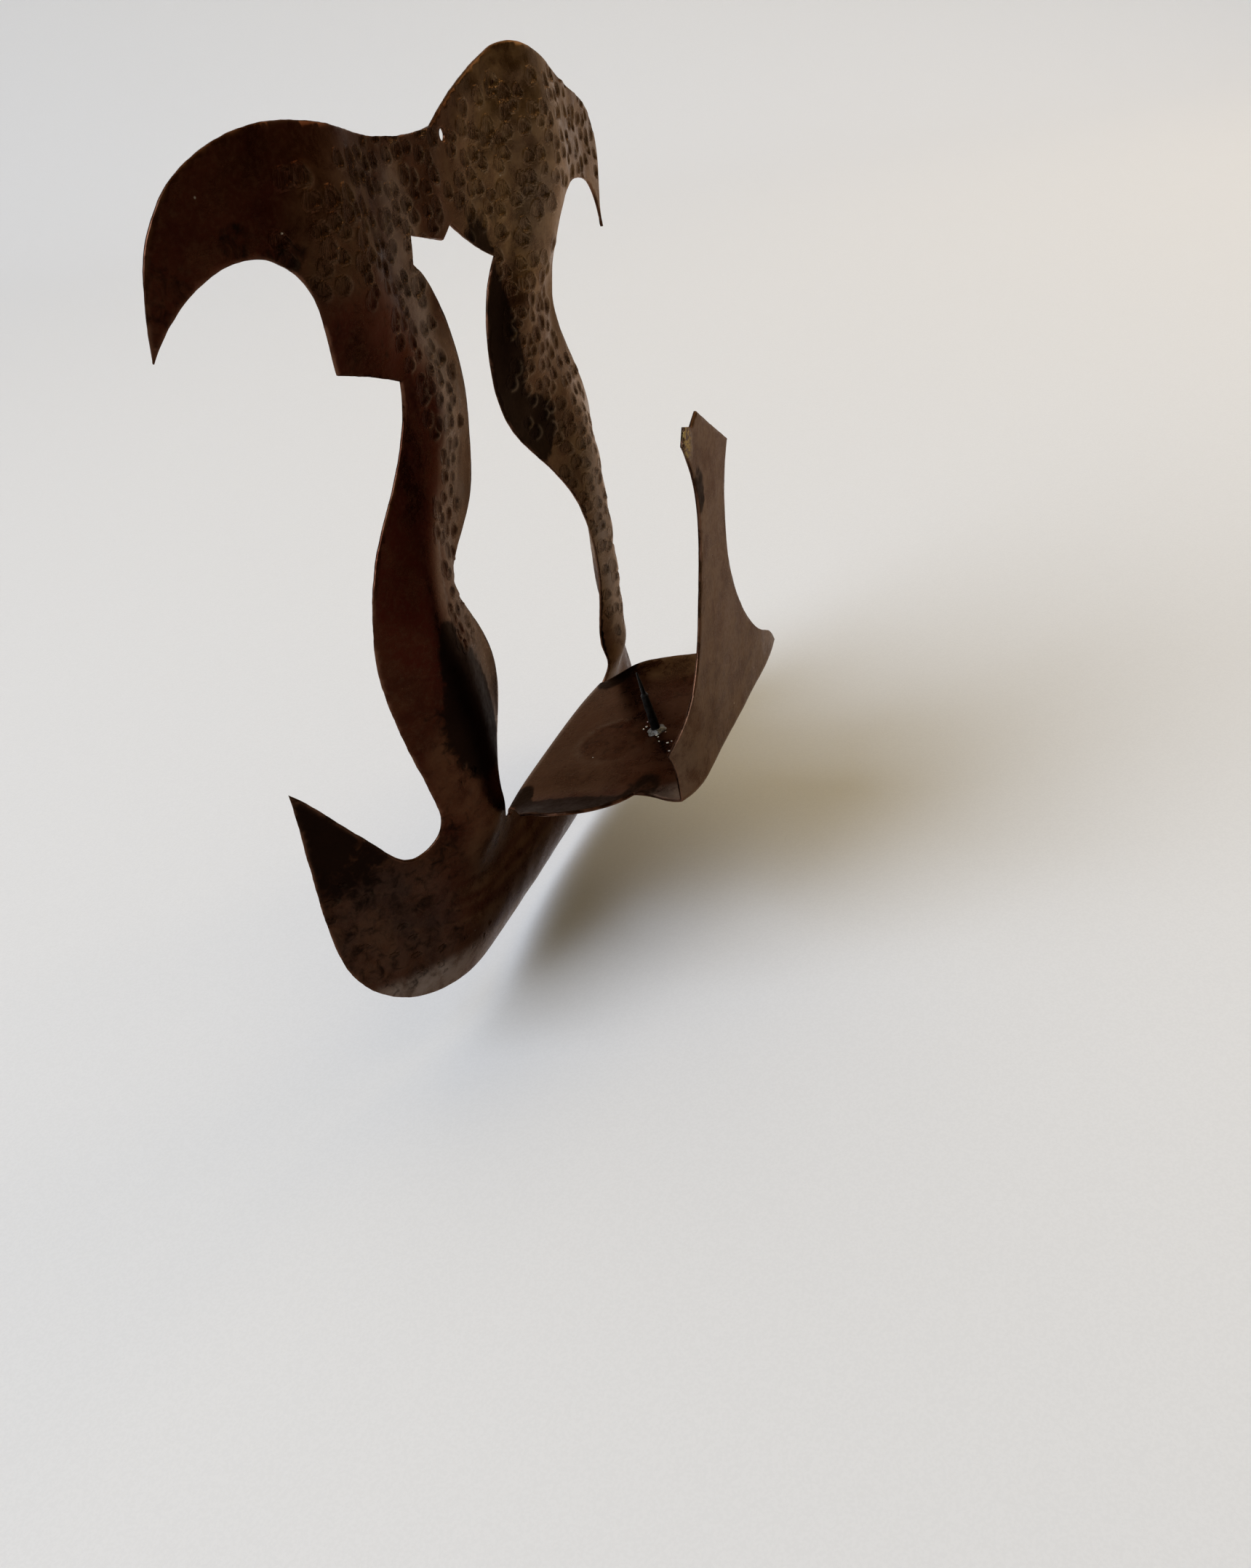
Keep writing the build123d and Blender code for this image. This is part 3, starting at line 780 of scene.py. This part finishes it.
# ---- materials -------------------------------------------------------------------------------------
class Shader:
    """a material's node tree, with sockets joined as values are given"""

    def __init__(self, name):
        self.material = bpy.data.materials.new(name)
        self.material.use_nodes = True
        self.tree = self.material.node_tree
        self.out = self.tree.nodes["Principled BSDF"]

    def node(self, kind, inputs=None, **props):
        n = self.tree.nodes.new("ShaderNode" + kind)
        for key, value in props.items():
            setattr(n, key, value)
        for key, value in (inputs or {}).items():
            self.give(n.inputs[key], value)
        return n

    def give(self, socket, value):
        if isinstance(value, bpy.types.NodeSocket):
            self.tree.links.new(value, socket)
        else:
            socket.default_value = value

    def attribute(self, key):
        return self.node("Attribute", attribute_name=key).outputs["Fac"]

    def mm(self, scale=(1, 1, 1), lean=0.0):
        """the row frame in mm, stretched, and turned in the sheet's plane"""
        at = self.node("TexCoord").outputs["Object"]
        m = self.node("Mapping", {"Vector": at, "Rotation": (0, math.radians(lean), 0)})
        stretch = tuple(s / MM for s in scale)
        return self.node("Mapping", {"Vector": m.outputs[0], "Scale": stretch}).outputs[0]

    def noise(self, size, detail=3.0, rough=0.55, stretch=(1, 1, 1), lean=0.0, twist=0.0):
        """noise with features about size mm across"""
        vector = self.mm(stretch, lean)
        inputs = {"Vector": vector, "Scale": 1 / size, "Detail": detail, "Roughness": rough,
                  "Distortion": twist}
        return self.node("TexNoise", inputs).outputs["Fac"]

    def ramp(self, value, low, high, to_low=0.0, to_high=1.0):
        inputs = {"Value": value, "From Min": low, "From Max": high, "To Min": to_low, "To Max": to_high}
        return self.node("MapRange", inputs, interpolation_type="SMOOTHSTEP").outputs[0]

    def math(self, kind, a, b=0.0, clamp=False):
        return self.node("Math", {0: a, 1: b}, operation=kind, use_clamp=clamp).outputs[0]

    def mix(self, fac, a, b, blend="MIX"):
        n = self.node("Mix", data_type="RGBA", blend_type=blend)
        for socket, value in ((n.inputs[0], fac), (n.inputs[6], a), (n.inputs[7], b)):
            self.give(socket, value)
        return n.outputs[2]

    def bump(self, height, distance, strength=1.0, normal=None):
        inputs = {"Height": height, "Distance": distance * MM, "Strength": strength}
        if normal is not None:
            inputs["Normal"] = normal
        return self.node("Bump", inputs).outputs[0]


def rgb(r, g, b):
    return (r, g, b, 1.0)


# colours of the patina, with painted light among them: the rim highlight, the sheen, and in part the tan and
# the soot
OXIDE_DARK = rgb(0.016, 0.0052, 0.0025)
OXIDE_BROWN = rgb(0.035, 0.0125, 0.0055)
OXIDE_LIGHT = rgb(0.050, 0.021, 0.0085)
OXIDE_RED = rgb(0.031, 0.0048, 0.0024)
# rubbed copper, also used to paint light
RUBBED_TAN_AND_PAINTED_LIGHT = rgb(0.15, 0.086, 0.038)
# colour of the painted sheen, a reflection of the bright table
PAINTED_SHEEN_COLOUR = rgb(0.15, 0.112, 0.090)
FINE_GRAIN = rgb(0.085, 0.048, 0.026)
# soot and dark patina, also used to paint shade
SOOT_AND_PAINTED_SHADE = rgb(0.005, 0.0025, 0.0015)
IN_MARK = rgb(0.016, 0.008, 0.005)
# colour of the painted highlight on the marks' raised rims
PAINTED_RIM_HIGHLIGHT = rgb(0.20, 0.135, 0.085)
STAIN_RING = rgb(0.10, 0.07, 0.05)
WORN_EDGE = rgb(0.12, 0.055, 0.032)
SPECK = rgb(0.42, 0.36, 0.28)
FLAKE = rgb(0.42, 0.30, 0.12)
# tints of the reflections at a flat angle; the dull tint paints shade (and the tray's stain), the soot tint
# soot and painted shade
TINT_OPEN = rgb(1.0, 0.81, 0.68)
TINT_PAINTED_SHADE_AND_STAIN = rgb(0.60, 0.535, 0.515)
TINT_SOOT_AND_PAINTED_SHADE = rgb(0.60, 0.55, 0.525)


def patina(name, streak_mm):
    """dark oxide patina on copper, rubbed through along cut edges, with painted light on it: highlights on the
    raised rims, a painted sheen, painted shade in the tint, and painted light and shade among the tan and dark
    patches
    """
    m = Shader(name)
    cloud = m.noise(26, 4, 0.6, twist=0.6)
    mottle = m.noise(7, 4, 0.62, twist=0.4)
    fine = m.noise(1.3, 3, 0.6)
    streak = m.noise(2.4, 3, 0.6, stretch=(1, 1, 0.09))
    warm, dark_patina_and_painted_shade, tan = (m.attribute(k) for k in ("warm", "dark_patina_and_painted_shade", "tan"))
    mark, painted_rim_highlight, cut = (m.attribute(k) for k in ("mark", "painted_rim_highlight", "cut"))
    painted_sheen, crumb, ring = (m.attribute(k) for k in ("painted_sheen", "crumb", "ring"))
    painted_shade_and_stain = m.attribute("painted_shade_and_stain")

    base = m.mix(m.ramp(cloud, 0.36, 0.64), OXIDE_DARK, OXIDE_BROWN)
    base = m.mix(m.ramp(m.noise(14, 5, 0.6, twist=1.2), 0.50, 0.66, 0.0, 0.35), base, OXIDE_LIGHT)
    red = m.math("MULTIPLY", warm, m.ramp(mottle, 0.30, 0.68, 0.45, 1.0))
    base = m.mix(red, base, OXIDE_RED)
    # rubbed tan, partly painted light on surfaces that catch light
    rubbed_and_painted_light = m.math("MULTIPLY", tan, m.ramp(mottle, 0.34, 0.70, 0.25, 0.9))
    base = m.mix(rubbed_and_painted_light, base, RUBBED_TAN_AND_PAINTED_LIGHT)
    # painted reflection: the pale sheen
    painted_sheen_share = m.math("MULTIPLY", painted_sheen, m.ramp(mottle, 0.30, 0.62, 0.3, 0.9))
    base = m.mix(painted_sheen_share, base, PAINTED_SHEEN_COLOUR)
    base = m.mix(m.ramp(fine, 0.45, 0.72, 0.0, 0.12), base, FINE_GRAIN)
    # soot and dark patina, and painted shade where the dark patches stand for it
    ragged = m.math("ADD", dark_patina_and_painted_shade, m.math("MULTIPLY", m.noise(3.6, 5, 0.66, twist=0.8), 1.1))
    soot_and_painted_shade = m.math("MULTIPLY", m.ramp(ragged, 0.86, 1.22), 0.90)
    base = m.mix(soot_and_painted_shade, base, SOOT_AND_PAINTED_SHADE)
    base = m.mix(m.math("MULTIPLY", mark, 0.16), base, IN_MARK)
    # painted highlight on the lit side of each mark's raised rim
    base = m.mix(m.math("MULTIPLY", painted_rim_highlight, 0.40), base, PAINTED_RIM_HIGHLIGHT)
    base = m.mix(m.math("MULTIPLY", ring, 0.35), base, STAIN_RING)
    edge_wear_and_rim_highlight = m.math("MULTIPLY", m.math("POWER", cut, 3.0), m.ramp(mottle, 0.42, 0.60, 0.10, 0.75))
    base = m.mix(edge_wear_and_rim_highlight, base, WORN_EDGE)
    speck = m.node("TexVoronoi", {"Vector": m.mm(), "Scale": 0.06, "Randomness": 1.0}).outputs["Distance"]
    base = m.mix(m.ramp(speck, 0.035, 0.02, 0.0, 0.75), base, SPECK)
    grit = m.noise(0.9, 2, 0.7)
    flake = m.math("MULTIPLY", crumb, m.ramp(grit, 0.50, 0.56))
    base = m.mix(flake, base, FLAKE)
    m.give(m.out.inputs["Base Color"], base)

    rough = m.ramp(mottle, 0.3, 0.7, 0.25, 0.37)
    rough = m.math("ADD", rough, m.math("MULTIPLY", soot_and_painted_shade, 0.16))
    rough = m.math("ADD", rough, m.ramp(fine, 0.4, 0.7, -0.03, 0.06))
    rough = m.math("ADD", rough, m.math("MULTIPLY", flake, 0.3), True)
    m.give(m.out.inputs["Roughness"], rough)
    m.out.inputs["Metallic"].default_value = 1.0
    # painted shade darkens the reflections through the tint, as does the tray's stain
    painted_shade_and_stain_dulling = m.math("MULTIPLY", painted_shade_and_stain, m.ramp(mottle, 0.30, 0.70, 1.1, 0.75), True)
    tint = m.mix(painted_shade_and_stain_dulling, TINT_OPEN, TINT_PAINTED_SHADE_AND_STAIN)
    # the soot tint darkens the reflections under soot and under painted shade
    m.give(m.out.inputs["Specular Tint"], m.mix(soot_and_painted_shade, tint, TINT_SOOT_AND_PAINTED_SHADE))

    # ridges left inside each mark, grain, drawn streaks, and flakes at the strip's torn tip
    ridge = m.noise(0.75, 2, 0.5, stretch=(1, 1, 0.16), lean=-16)
    normal = m.bump(m.math("MULTIPLY", ridge, mark), 0.75)
    normal = m.bump(fine, 0.05, normal=normal)
    normal = m.bump(streak, streak_mm, normal=normal)
    normal = m.bump(m.math("MULTIPLY", crumb, grit), 0.8, normal=normal)
    m.give(m.out.inputs["Normal"], normal)
    return m.material


def plain(name, low, high, size, rough, metallic, bump_mm, bump_size):
    """a mottle between two colours, about size mm across; rough is the least and most roughness"""
    m = Shader(name)
    m.give(m.out.inputs["Base Color"], m.mix(m.ramp(m.noise(size, 3), 0.35, 0.65), low, high))
    m.give(m.out.inputs["Roughness"], m.ramp(m.noise(size * 0.5, 3), 0.3, 0.7, *rough))
    m.out.inputs["Metallic"].default_value = metallic
    m.give(m.out.inputs["Normal"], m.bump(m.noise(bump_size, 3), bump_mm))
    return m


back_plate.data.materials.append(patina("hammered_patina", 0.03))
candle_tongue.data.materials.append(patina("planished_patina", 0.04))
spike_look = plain("blackened_steel", rgb(0.004, 0.004, 0.004), rgb(0.012, 0.011, 0.010), 2.0,
                   (0.38, 0.55), 0.6, 0.08, 0.7)
candle_spike.data.materials.append(spike_look.material)
solder_look = plain("dull_solder", rgb(0.05, 0.045, 0.04), rgb(0.15, 0.14, 0.125), 1.2,
                    (0.35, 0.6), 0.8, 0.12, 0.6)
solder.data.materials.append(solder_look.material)
wax_look = plain("old_wax", rgb(0.34, 0.31, 0.27), rgb(0.62, 0.58, 0.52), 0.8,
                 (0.4, 0.6), 0.0, 0.08, 0.4)
wax_look.out.inputs["Subsurface Weight"].default_value = 0.25
wax_look.out.inputs["Subsurface Scale"].default_value = 0.0008
wax.data.materials.append(wax_look.material)

# ---- table, light and camera -----------------------------------------------------------------------
lowest = min(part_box(n)[0].z for n in ("base_web", "left_fin", "right_fin"))
table_z = lowest - FLOOR_GAP * MM
away = Vector((0.899, 0.439, 0))        # level direction in which the camera looks
across = Vector((-away.y, away.x, 0))
# a roll of pale paper lies under the object and bends up behind it; metres
PAPER_NEAR = -2.5
PAPER_HALF_WIDTH = 3
SWEEP_AT = 1.3
SWEEP_R = 0.7
SWEEP_TOP = 2.4
profile = [(d, 0.0) for d in np.linspace(PAPER_NEAR, SWEEP_AT, 21)[:-1]]
for k in range(17):
    bend = k * math.pi / 32
    profile.append((SWEEP_AT + SWEEP_R * math.sin(bend), SWEEP_R * (1 - math.cos(bend))))
profile += [(SWEEP_AT + SWEEP_R, SWEEP_R + SWEEP_TOP * k / 4) for k in range(1, 5)]
bm = bmesh.new()
WIDTH_STEPS = 8
widths = np.linspace(-PAPER_HALF_WIDTH, PAPER_HALF_WIDTH, WIDTH_STEPS + 1)
grid = [[bm.verts.new(away * d + across * w + Vector((0, 0, table_z + h))) for w in widths]
        for d, h in profile]
for low, high in zip(grid, grid[1:]):
    for k in range(WIDTH_STEPS):
        bm.faces.new((low[k], high[k], high[k + 1], low[k + 1]))
floor = new_object("table", bm)
paper = Shader("white_table")
tone = paper.noise(0.7, 2, 0.5)
white = paper.mix(paper.ramp(tone, 0.4, 0.6), rgb(0.78, 0.785, 0.80), rgb(0.80, 0.805, 0.82))
paper.give(paper.out.inputs["Base Color"], white)
paper.out.inputs["Roughness"].default_value = 0.55
paper.out.inputs["Specular IOR Level"].default_value = 0.3
paper.give(paper.out.inputs["Normal"], paper.bump(tone, 0.02))
floor.data.materials.append(paper.material)

scene = bpy.context.scene
scene.view_settings.view_transform = "Standard"
world = bpy.data.worlds.new("room")
scene.world = world
world.use_nodes = True
world.node_tree.nodes["Background"].inputs["Color"].default_value = rgb(1.0, 0.79, 0.41)
world.node_tree.nodes["Background"].inputs["Strength"].default_value = 0.21


middle = Vector(((cad_box[0].x + cad_box[1].x) / 2, 0, (cad_box[0].z + cad_box[1].z) / 2))


def place_light(name, data, toward, distance):
    """a lamp that shines at the middle of the object from that direction"""
    lamp = bpy.data.objects.new(name, data)
    lamp.location = middle + Vector(toward).normalized() * distance
    lamp.rotation_euler = Vector(toward).to_track_quat("Z", "Y").to_euler()
    scene.collection.objects.link(lamp)


def area_light(name, toward, distance, size, power, colour):
    """a soft square lamp"""
    data = bpy.data.lights.new(name, "AREA")
    data.size, data.energy, data.color = size, power, colour
    place_light(name, data, toward, distance)


TO_WINDOW = (-0.57, 0.49, 0.67)
window = bpy.data.lights.new("window", "SUN")
window.energy, window.angle, window.color = 1.90, math.radians(46), (0.75, 0.85, 1.02)
place_light("window", window, TO_WINDOW, 3.0)
area_light("window_near", TO_WINDOW, 2.0, 1.2, 15, (0.80, 0.88, 1.0))
area_light("room_lamp", (0.80, -0.45, 0.62), 1.8, 1.0, 6, (1.0, 0.78, 0.50))
area_light("ceiling", (0.2, 0.1, 1.0), 2.2, 2.4, 8, (1.0, 0.78, 0.42))

camera_data = bpy.data.cameras.new("camera")
camera_data.sensor_width = 36
camera_data.lens = 28.75
camera_data.clip_start = 0.01
camera = bpy.data.objects.new("camera", camera_data)
CAMERA_AT = (-317.07, -180.40, 229.50)     # mm, in the sheet's frame
CAMERA_TURN = (54.98, 7.58, -69.21)        # degrees
camera.location = placed(CAMERA_AT)
camera.rotation_euler = [math.radians(a) for a in CAMERA_TURN]
scene.collection.objects.link(camera)
scene.camera = camera
